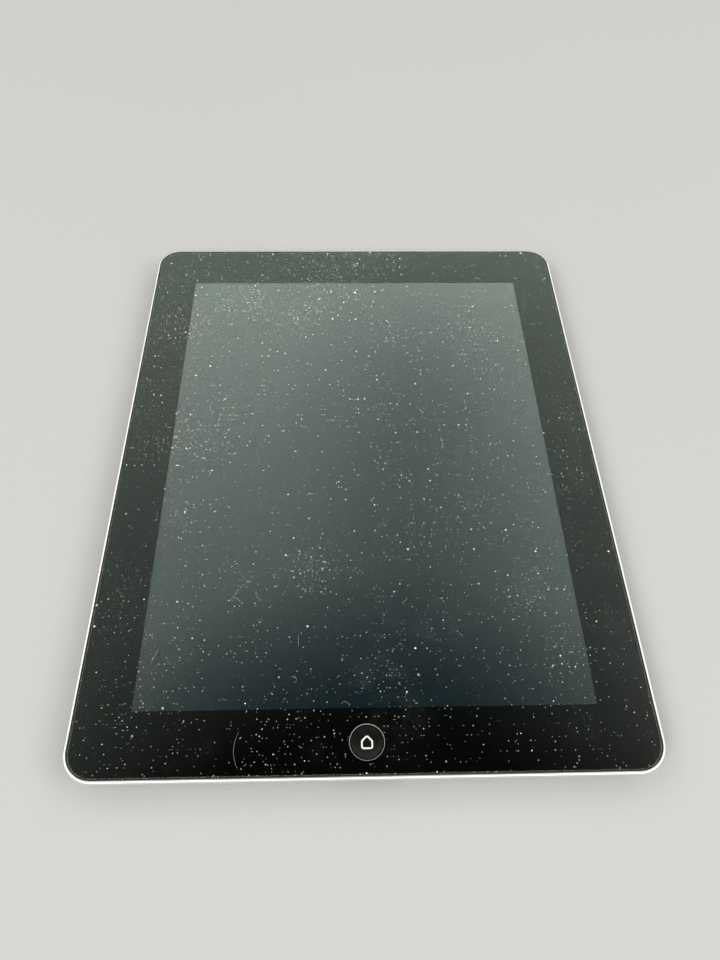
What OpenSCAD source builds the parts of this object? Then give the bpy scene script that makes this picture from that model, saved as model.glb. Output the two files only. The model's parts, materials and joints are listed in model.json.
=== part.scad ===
// Slate tablet computer with a 4:3 display, lying on its back.
// Frame: origin at the centre of the flat back, +Z out of the screen, +Y to the camera end,
// +X to the side with the volume keys. All lengths are in millimetres.

/* [Body] */
// Width of the body across the screen
body_w = 185.7; // [180:0.1:195]
// Height of the body from the socket end to the camera end
body_h = 241.2; // [236:0.1:250]
// Thickness from the flat back to the front of the glass
body_t = 8.8; // [8.6:0.1:9.4]
// Corner radius of the outline, seen from the front
corner_r = 10; // [8:0.5:12]
// Width of the curved taper between the outline and the flat back
taper_w = 15; // [13:0.5:17]
// Height of the front of the taper, where the side turns upright
side_z = 6.8; // [6.6:0.1:7.2]
// Radius of the rounded edge of the metal rim
rim_round = 0.9; // [0.5:0.05:0.95]
// How far the glass stands above the metal rim
glass_proud = 0.15; // [0.1:0.05:0.2]

/* [Shell walls] */
// Thickness of the flat back
back_wall = 1.0; // [0.8:0.1:1.1]
// Thickness of the upright side
side_wall = 1.1; // [0.9:0.1:1.3]
// Width of the bare metal rim around the glass
rim_w = 0.95; // [0.8:0.05:1.2]
// Width of the plastic trim between metal and glass
trim_w = 0.25; // [0.2:0.05:0.35]
// Width from the outline to the opening inside the glass ledge
ledge_w = 3.6; // [3:0.1:4]

/* [Screen] */
// Width of the picture area
screen_w = 148.2; // [140:0.1:150]
// Height of the picture area
screen_h = 198; // [190:0.1:200]
// Thickness of the cover glass
glass_t = 0.95; // [0.8:0.05:1]
// Bevel all round the front of the glass
glass_bevel = 0.2; // [0.1:0.05:0.3]
// Gap under the glass for its adhesive
adhesive_t = 0.15; // [0.1:0.05:0.2]

/* [Home button] */
// Diameter of the round button cap
home_d = 10.5; // [10:0.1:12]
// Distance from the body's edge to the centre of the button
home_from_edge = 10.9; // [10.5:0.1:11.2]
// Travel of the button
home_travel = 0.3; // [0.2:0.05:0.3]

/* [Side controls] */
// Height of the keys' centre line above the back
key_z = 4.3; // [4.2:0.1:4.4]
// Height of each key's cap
key_h = 2.4; // [2:0.1:2.6]
// Length of the sleep key
power_len = 10.4; // [9:0.1:12]
// Place of the sleep key along the camera end
power_x = 70; // [66:0.5:70]
// Length of the volume rocker
rocker_len = 22; // [20:0.5:23]
// Place of the rocker along the side
rocker_y = 74.6; // [72:0.1:75]
// Length of the lock slider's cap
slider_len = 3.6; // [3:0.1:4]
// Travel of the lock slider
slider_travel = 1.6; // [1.2:0.1:1.8]
// Middle of the lock slider's slot along the side
slider_y = 94.5; // [94:0.1:95]
// How far the key caps stand out of the side
key_proud = 0.25; // [0.15:0.05:0.25]

/* [Sockets] */
// Radius of the headphone socket's bore
jack_r = 1.78; // [1.76:0.01:1.82]
// Height of the headphone socket's axis
jack_z = 4.3; // [4.2:0.1:4.4]
// Place of the headphone socket along the camera end
jack_x = -72; // [-74:0.5:-66]
// Width of the dock socket's mouth
dock_w = 21.6; // [20:0.1:22]
// Height of the dock socket's mouth
dock_h = 2.6; // [2.4:0.1:2.8]
// Height of the dock socket's middle
dock_z = 3.8; // [3.7:0.1:3.9]

/* [Cameras and speaker] */
// Distance of the rear camera from the side and from the camera end
rear_camera_in = 16.3; // [16.2:0.1:17]
// Distance of the front camera from the camera end
front_camera_in = 10.1; // [10:0.1:11]
// Number of speaker holes in a row
grille_columns = 22; // [10:1:22]
// Spacing of the speaker holes
grille_pitch = 1.8; // [1.6:0.1:1.8]
// Diameter of a speaker hole
grille_d = 1.0; // [0.8:0.1:1.1]

/* [Hidden] */
$fn = 48;
eps = 0.1;
half_w = body_w / 2;
half_h = body_h / 2;
corner_grow = 2.5;                       // the flat back's corners are this much rounder
corner_steps = 12;
taper_steps = 16;
rim_steps = 7;
cavity_corner_steps = 6;
cavity_taper_steps = 8;
rim_top = body_t - glass_proud;
glass_z = body_t - glass_t;
print_t = 0.04;                          // ink printed on the inside of the glass
ledge_z = glass_z - adhesive_t;
ledge_under = 6.6;
glass_in = rim_w + trim_w + 0.02;
home_y = -half_h + home_from_edge;
home_flange_z = 7;
home_flange_t = 0.5;
home_flange_r = 6.8;
touch_t = 0.25;
front_window_r = 1.5;
light_sensor_x = -16;
mic_z = 3.6;
cap_gap = 0.15;                          // gap all round the home button and the keys
inner_x = half_w - 5;                    // flat inner faces behind the side keys
inner_y = half_h - 5;                    // flat inner face behind the sleep key
block_front = half_h - 6.3;              // inner end of the dock socket's solid block
camera_x = half_w - rear_camera_in;
camera_y = half_h - rear_camera_in;
front_camera_y = half_h - front_camera_in;
camera_hole_r = 3.6;

// The display module: a metal tray that holds the light guide and the glass cell.
tray_w = 155;
tray_h = 203;
tray_z = 4.75;
tray_wall = 1.2;
tray_floor = 0.4;
cell_z = 6.55;
cell_t = 0.9;
lcd_post_x = 80.5;
lcd_post_y = 97;
lcd_tab_t = 0.3;

// Battery cells stand in one column on the flat back.
cell_x0 = -78;
cell_x1 = 39;
battery_z = back_wall + 0.15;
battery_t = 3;
battery_cell_h = 65;
battery_pitch = 66.5;

// Logic board beside the battery.
board_x = 60.7;
board_y = 26;
board_w = 34.6;
board_h = 132;
board_z = 2.2;
board_t = 0.8;
board_screw_x = 14.8;
board_screw_y = 63;

// Headphone socket and dock socket.
jack_front = half_h - 4.8;
jack_back = half_h - 18.6;
jack_shoulder = half_h - 6.6;
jack_nose_r = 2.25;
dock_shell_w = 26;
dock_wall = 0.4;
dock_back = -half_h + 14.8;
dock_front = -block_front;
dock_mouth = -half_h + 4.1;              // front of the thin nose that lines the opening
dock_nose_wall = 0.18;
tongue_front = dock_front - 1;
contact_count = 30;
contact_pitch = (dock_w - 3) / (contact_count - 1);

// Volume rocker's pivot and the metal brackets behind the keys.
pivot_x = half_w - 6.95;
bracket_x = half_w - 8.95;
bracket_y = half_h - 8.8;
bracket_t = 0.7;
pin_r = 0.5;
slider_rest_y = slider_y + slider_travel / 2;
foot_z = 2.6;
foot_t = 0.4;
side_feet = [[half_w - 10.8, 63, foot_z], [half_w - 10.8, 86, foot_z]];
power_foot = [power_x - 9.5, bracket_y - 1.4, foot_z];
home_bracket_z = 5.5;
home_feet = [for (x = [-1, 1]) [x * 16.5, home_y + 1, home_bracket_z]];
feet = concat(side_feet, [power_foot], home_feet);

// Speaker grille, drilled through the tapered edge below the sound box.
grille_x0 = 27.5;
grille_rows = [-112.6, -110.8, -109];
speaker_z = 2.15;

// Flat cables that cross the battery.
cable_z = battery_z + battery_t + 0.1;
cable_t = 0.2;

// Gap between the display module and the parts at the two ends of the body.
end_gap = 0.3;

// ---------------------------------------------------------------- shapes

// Rectangle with round corners, centred.
module round_rect(w, h, r) {
    square([w - 2 * r, h], center = true);
    square([w, h - 2 * r], center = true);
    for (x = [-1, 1], y = [-1, 1])
        translate([x * (w / 2 - r), y * (h / 2 - r)]) circle(r);
}

// Flat plate with round corners, standing on height z.
module plate(w, h, t, r, z = 0) {
    translate([0, 0, z]) linear_extrude(t) round_rect(w, h, r);
}

// Slot shape with round ends.
module pill(len, high) {
    square([len - high, high], center = true);
    for (x = [-1, 1]) translate([x * (len - high) / 2, 0]) circle(high / 2);
}

// Slot-shaped bar of the given length and height, along X, lying along Y from y0 to y1.
module pill_y(len, high, y0, y1) {
    translate([0, y1, 0]) rotate([90, 0, 0]) linear_extrude(y1 - y0) pill(len, high);
}

// The same bar, long in Y, lying along X from x0 to x1.
module pill_x(len, high, x0, x1) {
    rotate([0, 0, -90]) pill_y(len, high, x0, x1);
}

// Box given by its lowest and highest corners.
module span(low, high) {
    translate(low) cube(high - low);
}

// Ring of points round the body's outline, at a given inset and height.
function body_ring(inset, r, z, steps) = [
    for (c = [0:3], i = [0:steps])
        let (a = 90 * c + 90 * i / steps,
             cx = (c == 0 || c == 3 ? 1 : -1) * (half_w - inset - r),
             cy = (c < 2 ? 1 : -1) * (half_h - inset - r))
        [cx + r * cos(a), cy + r * sin(a), z]];

// Rings of the curved taper, a quarter ellipse from height z0 to height z1.
function taper_rings(inset, r, z0, z1, count, steps) = [
    for (i = [count:-1:0])
        let (t = 90 * i / count, more = taper_w * (1 - cos(t)))
        body_ring(inset + more, r + corner_grow * more / taper_w, z0 + (z1 - z0) * (1 - sin(t)), steps)];

// Outer skin from the flat back to the rim, standing out by the given amount.
function skin_rings(out, steps) = concat(
    taper_rings(-out, corner_r, 0, side_z, taper_steps, steps),
    [for (i = [0:rim_steps])
        let (t = 90 * i / rim_steps, inset = rim_round * (1 - cos(t)))
        body_ring(inset - out, corner_r - inset, rim_top - rim_round * (1 - sin(t)), steps)]);

// Inner skin from the inside of the back to the underside of the ledge.
function cavity_rings() = taper_rings(side_wall, corner_r - side_wall, back_wall, ledge_under,
                                      cavity_taper_steps, cavity_corner_steps);

// Solid through a stack of rings.
module loft(rings) {
    n = len(rings[0]);
    last = len(rings) - 1;
    points = [for (one = rings) for (p = one) p];
    sides = [for (k = [0:last - 1], i = [0:n - 1])
        let (a = k * n + i, b = k * n + (i + 1) % n)
        each [[a, a + n, b + n], [a, b + n, b]]];
    polyhedron(points, concat([[for (i = [0:n - 1]) i]], sides,
                              [[for (i = [n - 1:-1:0]) last * n + i]]));
}

// Body's outline pushed out a little, to give a key's cap the same curve as the side.
module key_skin(out) { loft(skin_rings(out, 1)); }

// Plate with round corners and a bevel all round its top.
module bevel_plate(w, h, t, r, bevel, z) {
    top = z + t - bevel;
    plate(w, h, t - bevel, r, z);
    translate([0, h / 2 - r, top]) rotate([90, 0, 0])
        linear_extrude(h - 2 * r) bevel_section(w / 2, bevel);
    translate([w / 2 - r, 0, top]) rotate([90, 0, -90])
        linear_extrude(w - 2 * r) bevel_section(h / 2, bevel);
    for (x = [-1, 1], y = [-1, 1])
        translate([x * (w / 2 - r), y * (h / 2 - r), top]) cylinder(h = bevel, r1 = r, r2 = r - bevel);
}

module bevel_section(half, bevel) {
    polygon([[-half, 0], [half, 0], [half - bevel, bevel], [bevel - half, bevel]]);
}

// Small screw with its head standing at the given place, and a cross in the head.
module screw(at, head_r, head_t, shaft_r, shaft_len) {
    translate(at) {
        translate([0, 0, -shaft_len]) cylinder(h = shaft_len + head_t / 4, r = shaft_r);
        difference() {
            cylinder(h = head_t, r = head_r);
            for (a = [0, 90]) rotate([0, 0, a])
                translate([0, 0, head_t]) cube([head_r * 1.2, head_r * 0.3, head_t * 0.8], center = true);
        }
    }
}

// Flat cable of straight runs between [x, y] points, with square corners.
module flat_cable(points, w, z, t) {
    for (i = [0:len(points) - 2]) {
        a = points[i];
        b = points[i + 1];
        span([min(a.x, b.x) - w / 2, min(a.y, b.y) - w / 2, z],
             [max(a.x, b.x) + w / 2, max(a.y, b.y) + w / 2, z + t]);
    }
}

// ---------------------------------------------------------------- case

// Solid metal left standing inside the cavity, round the sockets, keys and screws.
module case_blocks() {
    span([-dock_shell_w / 2 - 1, -half_h, 0], [dock_shell_w / 2 + 1, dock_front, body_t]);
    span([jack_x - 5, jack_shoulder, 0], [jack_x + 5, half_h, body_t]);
    span([power_x - 8.5, inner_y, 0], [power_x + 8.5, half_h, body_t]);
    span([inner_x, rocker_y - 14.5, 0], [half_w, slider_y + 6, body_t]);
    translate([camera_x, camera_y, 0]) cylinder(h = 1.9, r = 6);
    for (x = [-1, 1], y = [-1, 1])
        translate([x * lcd_post_x, y * lcd_post_y, 0]) cylinder(h = tray_z, r = 2.4);
    for (x = [-1, 1], y = [-1, 1])
        translate([board_x + x * board_screw_x, board_y + y * board_screw_y, 0])
            cylinder(h = board_z, r = 2);
    for (f = feet) translate([f.x, f.y, 0]) cylinder(h = f.z, r = 1.6);
}

// Recesses that let the sockets and the key flanges sit against the sloping wall.
module case_pockets() {
    span([-dock_shell_w / 2 - 0.1, dock_front, dock_z - dock_h / 2 - dock_wall - 0.05],
         [dock_shell_w / 2 + 0.1, dock_back + 1, ledge_under - 0.2]);
    span([jack_x - 3.7, jack_back - 0.2, jack_z - 2.3], [jack_x + 3.7, jack_shoulder, ledge_under - 0.02]);
    span([power_x - power_len / 2 - 1.3, inner_y - 2.6, key_z - 1.95],
         [power_x + power_len / 2 + 1.3, inner_y, key_z + 1.95]);
    span([inner_x - 2.6, rocker_y - 13, key_z - 1.95], [inner_x, rocker_y + 13, key_z + 1.95]);
    span([inner_x - 2.6, slider_y - 5.2, key_z - 1.95], [inner_x, slider_y + 5.2, key_z + 1.95]);
}

// Openings through the wall.
module case_openings() {
    dock_mouth_shape(dock_nose_wall + 0.02, -half_h - 1, 0);
    translate([jack_x, jack_back, jack_z]) rotate([-90, 0, 0])
        cylinder(h = jack_front - jack_back + 0.02, r = jack_nose_r + 0.05);
    translate([jack_x, jack_front - eps, jack_z]) rotate([-90, 0, 0]) cylinder(h = 8, r = jack_r);
    translate([power_x, 0, key_z])
        pill_y(power_len + 2 * cap_gap, key_h + 2 * cap_gap, inner_y - eps, half_h + 1);
    translate([0, rocker_y, key_z])
        pill_x(rocker_len + 3 * cap_gap, key_h + 2 * cap_gap, inner_x - eps, half_w + 1);
    translate([0, slider_y, key_z])
        pill_x(slider_len + slider_travel + 2 * cap_gap, key_h, inner_x - eps, half_w + 1);
    translate([0, half_h - 6, mic_z]) rotate([-90, 0, 0]) cylinder(h = 7, r = 0.5);
    translate([camera_x, camera_y, -1]) cylinder(h = 4, r = camera_hole_r);
    for (i = [0:grille_columns - 1], y = grille_rows)
        translate([grille_x0 + i * grille_pitch, y, -1]) cylinder(h = 4, r = grille_d / 2);
}

// Blind holes for the screws.
module case_screw_holes() {
    for (x = [-1, 1], y = [-1, 1]) {
        translate([x * lcd_post_x, y * lcd_post_y, tray_z - 2.2]) cylinder(h = 3, r = 0.6);
        translate([board_x + x * board_screw_x, board_y + y * board_screw_y, board_z - 0.9])
            cylinder(h = 2, r = 0.5);
    }
    for (f = feet) translate([f.x, f.y, f.z - 1]) cylinder(h = 2, r = 0.4);
}

module rear_case() color("#c9cbcd") {
    difference() {
        loft(skin_rings(0, corner_steps));
        difference() {
            loft(cavity_rings());
            case_blocks();
        }
        plate(body_w - 2 * ledge_w, body_h - 2 * ledge_w, ledge_z - ledge_under + 2 * eps,
              corner_r - ledge_w, ledge_under - eps);
        plate(body_w - 2 * rim_w, body_h - 2 * rim_w, 2, corner_r - rim_w, ledge_z);
        case_pockets();
        case_openings();
        case_screw_holes();
    }
}

module trim_gasket() color("#1b1c1e") {
    difference() {
        plate(body_w - 2 * rim_w - 0.02, body_h - 2 * rim_w - 0.02, rim_top - 0.1 - ledge_z,
              corner_r - rim_w, ledge_z);
        plate(body_w - 2 * rim_w - 2 * trim_w, body_h - 2 * rim_w - 2 * trim_w, 2,
              corner_r - rim_w - trim_w, ledge_z - eps);
    }
}

// ---------------------------------------------------------------- front

module cover_glass() color("#101314") {
    hole_r = home_d / 2 + cap_gap;
    difference() {
        bevel_plate(body_w - 2 * glass_in, body_h - 2 * glass_in, glass_t, corner_r - glass_in,
                    glass_bevel, glass_z);
        translate([0, home_y, glass_z - 1]) cylinder(h = 3, r = hole_r);
        translate([0, home_y, body_t - glass_bevel])
            cylinder(h = glass_bevel, r1 = hole_r, r2 = hole_r + glass_bevel);
    }
}

module border_print() color("#060708") {
    inset = glass_in + 0.3;
    difference() {
        plate(body_w - 2 * inset, body_h - 2 * inset, print_t, corner_r - inset, glass_z - print_t);
        translate([0, 0, glass_z - 1]) linear_extrude(2) square([screen_w, screen_h], center = true);
        translate([0, home_y, glass_z - 1]) cylinder(h = 2, r = home_d / 2 + 0.3);
        translate([0, front_camera_y, glass_z - 1]) cylinder(h = 2, r = front_window_r);
        translate([light_sensor_x, front_camera_y, glass_z - 1]) cylinder(h = 2, r = 0.8);
    }
}

module touch_sensor() color("#3a4246") {
    plate(screen_w + 3.2, screen_h + 3.2, touch_t, 1, glass_z - print_t - touch_t);
}

module glass_adhesive() color("#202020") {
    outer = rim_w + trim_w + 0.05;
    inner = ledge_w - 0.2;
    difference() {
        plate(body_w - 2 * outer, body_h - 2 * outer, adhesive_t - print_t, corner_r - outer, ledge_z);
        plate(body_w - 2 * inner, body_h - 2 * inner, 1, corner_r - inner, ledge_z - 0.5);
    }
}

module digitizer_flex() color("#7a4a1c") {
    x0 = screen_w / 2 + 1.8;
    x1 = tray_w / 2 + 2.9;
    top = glass_z - print_t;
    board_top = board_z + board_t;
    span([x0, 10, top - 0.2], [x1, 34, top]);
    span([x1 - 0.2, 12, board_top], [x1, 32, top - 0.1]);
    span([board_x + board_w / 2 - 1.4, 12, board_top], [x1, 32, board_top + 0.2]);
}

// ---------------------------------------------------------------- display

module lcd_cell() color("#20262b") {
    plate(tray_w - 2 * tray_wall - 0.4, tray_h - 2 * tray_wall - 0.4, cell_t, 0.6, cell_z);
}

module light_guide() color("#dfe6ea") {
    plate(tray_w - 2 * tray_wall - 0.2, tray_h - 2 * tray_wall - 0.2,
          cell_z - tray_z - tray_floor, 0.6, tray_z + tray_floor);
}

module lcd_tray() color("#a9adb0") {
    difference() {
        union() {
            plate(tray_w, tray_h, 2.45, 1.2, tray_z);
            for (x = [-1, 1], y = [-1, 1])
                translate([x * (lcd_post_x - 2), y * lcd_post_y, 0]) plate(9, 6, lcd_tab_t, 1, tray_z);
        }
        plate(tray_w - 2 * tray_wall, tray_h - 2 * tray_wall, 4, 0.6, tray_z + tray_floor);
        for (x = [-1, 1], y = [-1, 1])
            translate([x * lcd_post_x, y * lcd_post_y, tray_z - 1]) cylinder(h = 3, r = 0.75);
    }
}

module lcd_screws() color("#8d9094") {
    for (x = [-1, 1], y = [-1, 1])
        screw([x * lcd_post_x, y * lcd_post_y, tray_z + lcd_tab_t], 1.3, 0.6, 0.55, 2);
}

module display_cable() color("#b9852c") {
    flat_cable([[28, -24], [52, -24]], 12, cable_z, cable_t);
}

// ---------------------------------------------------------------- home button

module home_button() color("#0c0e0f") {
    top = body_t - 0.12;
    dish = 0.4;
    dish_r = ((home_d / 2 - 0.4) ^ 2 + dish ^ 2) / (2 * dish);
    translate([0, home_y, 0]) difference() {
        union() {
            translate([0, 0, home_flange_z]) cylinder(h = top - home_flange_z, r = home_d / 2);
            translate([0, 0, home_flange_z]) cylinder(h = home_flange_t, r = home_flange_r);
            translate([0, 0, home_flange_z - 0.15]) cylinder(h = 0.5, r = 1.6);
        }
        translate([0, 0, top - dish + dish_r]) sphere(dish_r, $fn = 160);
    }
}

module home_button_seal() color("#26282a") {
    translate([0, home_y, home_flange_z + home_flange_t]) difference() {
        cylinder(h = glass_z - print_t - home_flange_z - home_flange_t, r = home_flange_r);
        translate([0, 0, -1]) cylinder(h = 3, r = home_d / 2 + 0.3);
    }
}

module home_button_bracket() color("#9b9ea1") {
    difference() {
        translate([0, home_y + 1, home_bracket_z]) plate(38, 10, foot_t, 2);
        for (f = home_feet) translate([f.x, f.y, f.z - 1]) cylinder(h = 3, r = 0.5);
    }
}

module home_switch() color("#d8b25a") {
    translate([0, home_y, home_bracket_z + foot_t]) {
        plate(6, 6, 0.45, 1);
        cylinder(h = 0.6, r = 2.2);
    }
}

module home_flex() color("#7a4a1c") {
    z = home_bracket_z + foot_t;
    y = -tray_h / 2 - end_gap;
    span([-1.5, home_y + 3, z], [1.5, y, z + 0.15]);
    span([-1.5, y - 0.2, cable_z + cable_t], [1.5, y, z + 0.1]);
}

// ---------------------------------------------------------------- cameras and sensors

module front_camera() color("#17191b") {
    translate([0, front_camera_y, 0]) {
        plate(8, 8, 2.5, 0.8, 4.6);
        translate([0, 0, 7]) cylinder(h = 0.7, r = 2.2);
    }
}

module front_camera_bracket() color("#9b9ea1") {
    translate([0, front_camera_y, 0]) difference() {
        plate(20, 11, glass_z - print_t - 4.3, 1, 4.3);
        plate(8.2, 8.2, 4, 0.8, 4.6);
        for (x = [-1, 1]) translate([x * 7.2, 0, 4.6]) plate(4.6, 12, 4, 0.5);
    }
}

module light_sensor() color("#3b3f44") {
    translate([light_sensor_x, front_camera_y, glass_z - print_t]) {
        plate(3, 3, 0.9, 0.4, -0.9);
        plate(6, 4, 0.3, 0.5, -1.2);
    }
}

module rear_camera() color("#1d1f22") {
    translate([camera_x, camera_y, 0]) {
        plate(8.5, 8.5, 1, 0.8, 3.6);
        translate([0, 0, 1.95]) cylinder(h = 1.8, r = 3.2);
    }
}

module rear_camera_lens() color("#0b1016") {
    translate([camera_x, camera_y, 0.5]) cylinder(h = 0.6, r = 2.75);
}

module rear_camera_ring() color("#6f7275") {
    translate([camera_x, camera_y, 0.2]) difference() {
        cylinder(h = 1.7, r = camera_hole_r - 0.05);
        translate([0, 0, -1]) cylinder(h = 4, r = 2.78);
    }
}

// ---------------------------------------------------------------- sound

module headphone_jack() color("#2a2b2d") {
    difference() {
        union() {
            span([jack_x - 3.5, jack_back, jack_z - 2.25],
                 [jack_x + 3.5, jack_shoulder - 0.05, jack_z + 2.25]);
            translate([jack_x, jack_shoulder - 1, jack_z]) rotate([-90, 0, 0])
                cylinder(h = jack_front - jack_shoulder + 1, r = jack_nose_r);
        }
        translate([jack_x, jack_back + 0.8, jack_z]) rotate([-90, 0, 0]) cylinder(h = 20, r = jack_r);
        for (y = [3, 6, 9]) span([jack_x + 2.2, jack_back + y, jack_z - 0.6],
                                 [jack_x + 4, jack_back + y + 1.2, jack_z + 0.6]);
    }
}

module jack_contacts() color("#d8b25a") {
    for (y = [3, 6, 9]) span([jack_x + 2.25, jack_back + y + 0.1, jack_z - 0.5],
                             [jack_x + 3.9, jack_back + y + 1.1, jack_z + 0.5]);
}

module microphone() color("#8f9396") {
    span([-2.2, half_h - 8, mic_z - 0.65], [2.2, half_h - 4.9, mic_z + 0.55]);
}

module speaker_box() color("#222426") {
    difference() {
        span([27, -113.2, speaker_z], [69, -102.2, 6.2]);
        span([28, -112.2, speaker_z - 1], [68, -107.4, 5.2]);
        span([46, -107, speaker_z + 0.6], [66, -103, 7]);
    }
}

module speaker_driver() color("#4a4d50") {
    span([46.1, -106.9, speaker_z + 0.65], [65.9, -103.1, 6.1]);
}

module speaker_mesh() color("#303234") {
    span([28.2, -112, speaker_z], [67.8, -107.6, speaker_z + 0.15]);
}

// ---------------------------------------------------------------- dock socket

// Slot outline of the dock socket, grown by the given wall on every side.
module dock_mouth_shape(wall, y0, y1) {
    translate([0, y1, dock_z]) rotate([90, 0, 0])
        linear_extrude(y1 - y0) round_rect(dock_w + 2 * wall, dock_h + 2 * wall, 1 + wall);
}

module dock_shell() color("#b4b7ba") {
    difference() {
        union() {
            span([-dock_shell_w / 2, dock_front, dock_z - dock_h / 2 - dock_wall],
                 [dock_shell_w / 2, dock_back, dock_z + dock_h / 2 + dock_wall]);
            dock_mouth_shape(dock_nose_wall, dock_mouth, dock_front + 1);
        }
        dock_mouth_shape(0, dock_mouth - 1, dock_back - 0.8);
    }
}

module dock_tongue() color("#18191a") {
    span([-dock_w / 2 + 1, tongue_front, dock_z - 0.45], [dock_w / 2 - 1, dock_back - 0.8, dock_z + 0.45]);
}

module dock_contacts() color("#d8b25a") {
    for (i = [0:contact_count - 1])
        translate([contact_pitch * (i - (contact_count - 1) / 2) - 0.16, tongue_front + 0.4, dock_z + 0.45])
            cube([0.32, dock_back - tongue_front - 1.6, 0.1]);
}

module dock_flex() color("#7a4a1c") {
    span([-8, dock_back, dock_z - 0.1], [8, dock_back + 2.2, dock_z + 0.1]);
    span([-8, dock_back + 2, dock_z - 0.1], [8, dock_back + 2.2, cable_z + cable_t]);
    turn_y = dock_back + 9;
    flat_cable([[0, turn_y - 3], [0, turn_y], [48, turn_y], [48, -46]], 8, cable_z, cable_t);
}

// ---------------------------------------------------------------- keys

// Metal colour of every key cap.
module key_metal() { color("#bfc2c4") children(); }

module power_button() key_metal() {
    intersection() {
        translate([power_x, 0, key_z]) pill_y(power_len, key_h, inner_y - 0.6, half_h + 1);
        key_skin(key_proud);
    }
    span([power_x - power_len / 2 - 1, inner_y - 0.8, key_z - 1.8],
         [power_x + power_len / 2 + 1, inner_y - 0.1, key_z + 1.8]);
}

module power_switch() color("#d8b25a") {
    span([power_x - 3, bracket_y + bracket_t, key_z - 1.5], [power_x + 3, inner_y - 1.5, key_z + 1.5]);
    translate([power_x, inner_y - 1.6, key_z]) rotate([-90, 0, 0]) cylinder(h = 0.45, r = 1.2);
}

module power_bracket() color("#9b9ea1") {
    difference() {
        union() {
            span([power_x - 6, bracket_y, key_z - 1.9], [power_x + 6, bracket_y + bracket_t, key_z + 1.9]);
            span([power_foot.x - 1.6, power_foot.y - 1.6, foot_z],
                 [power_x - 5, bracket_y + bracket_t, foot_z + foot_t]);
        }
        translate(power_foot - [0, 0, 1]) cylinder(h = 3, r = 0.5);
    }
}

module volume_rocker() key_metal() {
    intersection() {
        translate([0, rocker_y, key_z]) pill_x(rocker_len, key_h, inner_x - 0.8, half_w + 1);
        key_skin(key_proud);
    }
    span([inner_x - 1.15, rocker_y - 12, key_z - 1.8], [inner_x - 0.4, rocker_y + 12, key_z + 1.8]);
    difference() {
        span([pivot_x - 0.9, rocker_y - 1.5, key_z - 1.1], [inner_x - 1.1, rocker_y + 1.5, key_z + 1.1]);
        translate([pivot_x, rocker_y, 0]) cylinder(h = 9, r = pin_r + 0.05);
    }
}

module rocker_pin() color("#8d9094") {
    translate([pivot_x, rocker_y, key_z - 1.9]) cylinder(h = 3.8, r = pin_r);
}

module volume_switches() color("#d8b25a") {
    for (y = [-1, 1]) translate([0, rocker_y + y * 8.5, key_z]) {
        span([bracket_x + bracket_t, -2, -1.5], [inner_x - 1.6, 2, 1.5]);
        translate([inner_x - 1.7, 0, 0]) rotate([0, 90, 0]) cylinder(h = 0.26, r = 1.1);
    }
}

module side_switch() color("#d9dbdc") {
    intersection() {
        translate([0, slider_rest_y, key_z]) pill_x(slider_len, key_h - 0.4, inner_x - 0.6, half_w + 1);
        key_skin(key_proud + 0.1);
    }
    span([inner_x - 1.1, slider_rest_y - 3.2, key_z - 1.6],
         [inner_x - 0.2, slider_rest_y + 3.2, key_z + 1.6]);
    translate([inner_x - 1.7, slider_rest_y, key_z]) rotate([0, 90, 0]) cylinder(h = 0.8, r = 0.5);
}

module side_switch_base() color("#303234") {
    difference() {
        span([bracket_x + bracket_t, slider_y - 4, key_z - 1.7],
             [inner_x - 1.25, slider_y + 4, key_z + 1.7]);
        translate([0, slider_y, key_z])
            pill_x(slider_travel + 1.4, 1.4, inner_x - 1.9, inner_x + 1);
    }
}

module side_bracket() color("#9b9ea1") {
    difference() {
        union() {
            span([bracket_x, rocker_y - 13, key_z - 1.9],
                 [bracket_x + bracket_t, slider_y + 5, key_z + 1.9]);
            for (z = [key_z - 1.9, key_z + 1.2])
                span([bracket_x, rocker_y - 2, z], [pivot_x + 0.6, rocker_y + 2, z + 0.7]);
            for (f = side_feet)
                span([f.x - 1.4, f.y - 1.6, foot_z], [bracket_x + bracket_t, f.y + 1.6, foot_z + foot_t]);
        }
        translate([pivot_x, rocker_y, 0]) cylinder(h = 9, r = pin_r);
        for (f = side_feet) translate([f.x, f.y, 0]) cylinder(h = 9, r = 0.5);
    }
}

module button_flex() color("#7a4a1c") {
    low = key_z - 1.2;
    span([bracket_x - 0.2, rocker_y - 12, low], [bracket_x, slider_y + 4.6, key_z + 1.4]);
    span([bracket_x - 2.6, 78, low], [bracket_x, 81, low + 0.2]);
    span([power_x - 5, bracket_y - 0.2, low], [power_x + 5, bracket_y, key_z + 1.4]);
}

module bracket_screws() color("#8d9094") {
    for (f = feet) screw(f + [0, 0, foot_t], 0.9, 0.5, 0.38, 1.2);
}

// ---------------------------------------------------------------- electronics

module logic_board() color("#1d4a34") {
    difference() {
        translate([board_x, board_y, board_z]) plate(board_w, board_h, board_t, 1.5);
        for (x = [-1, 1], y = [-1, 1])
            translate([board_x + x * board_screw_x, board_y + y * board_screw_y, 0])
                cylinder(h = 9, r = 0.8);
    }
}

module board_chips() color("#17181a") {
    top = board_z + board_t;
    for (c = [[0, 34, 14, 14], [-6, 12, 12, 18], [8, 12, 9, 9], [0, -12, 16, 12], [4, -34, 10, 8]])
        translate([board_x + c[0], board_y + c[1], top]) plate(c[2], c[3], 0.9, 0.4);
}

module board_shields() color("#b4b7ba") {
    top = board_z + board_t;
    for (s = [[0, 23, 31, 42], [0, -12, 31, 22]])
        translate([board_x + s[0], board_y + s[1], top]) difference() {
            plate(s[2], s[3], 1.3, 0.8);
            translate([0, 0, -1]) plate(s[2] - 0.5, s[3] - 0.5, 2.1, 0.6);
        }
}

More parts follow.
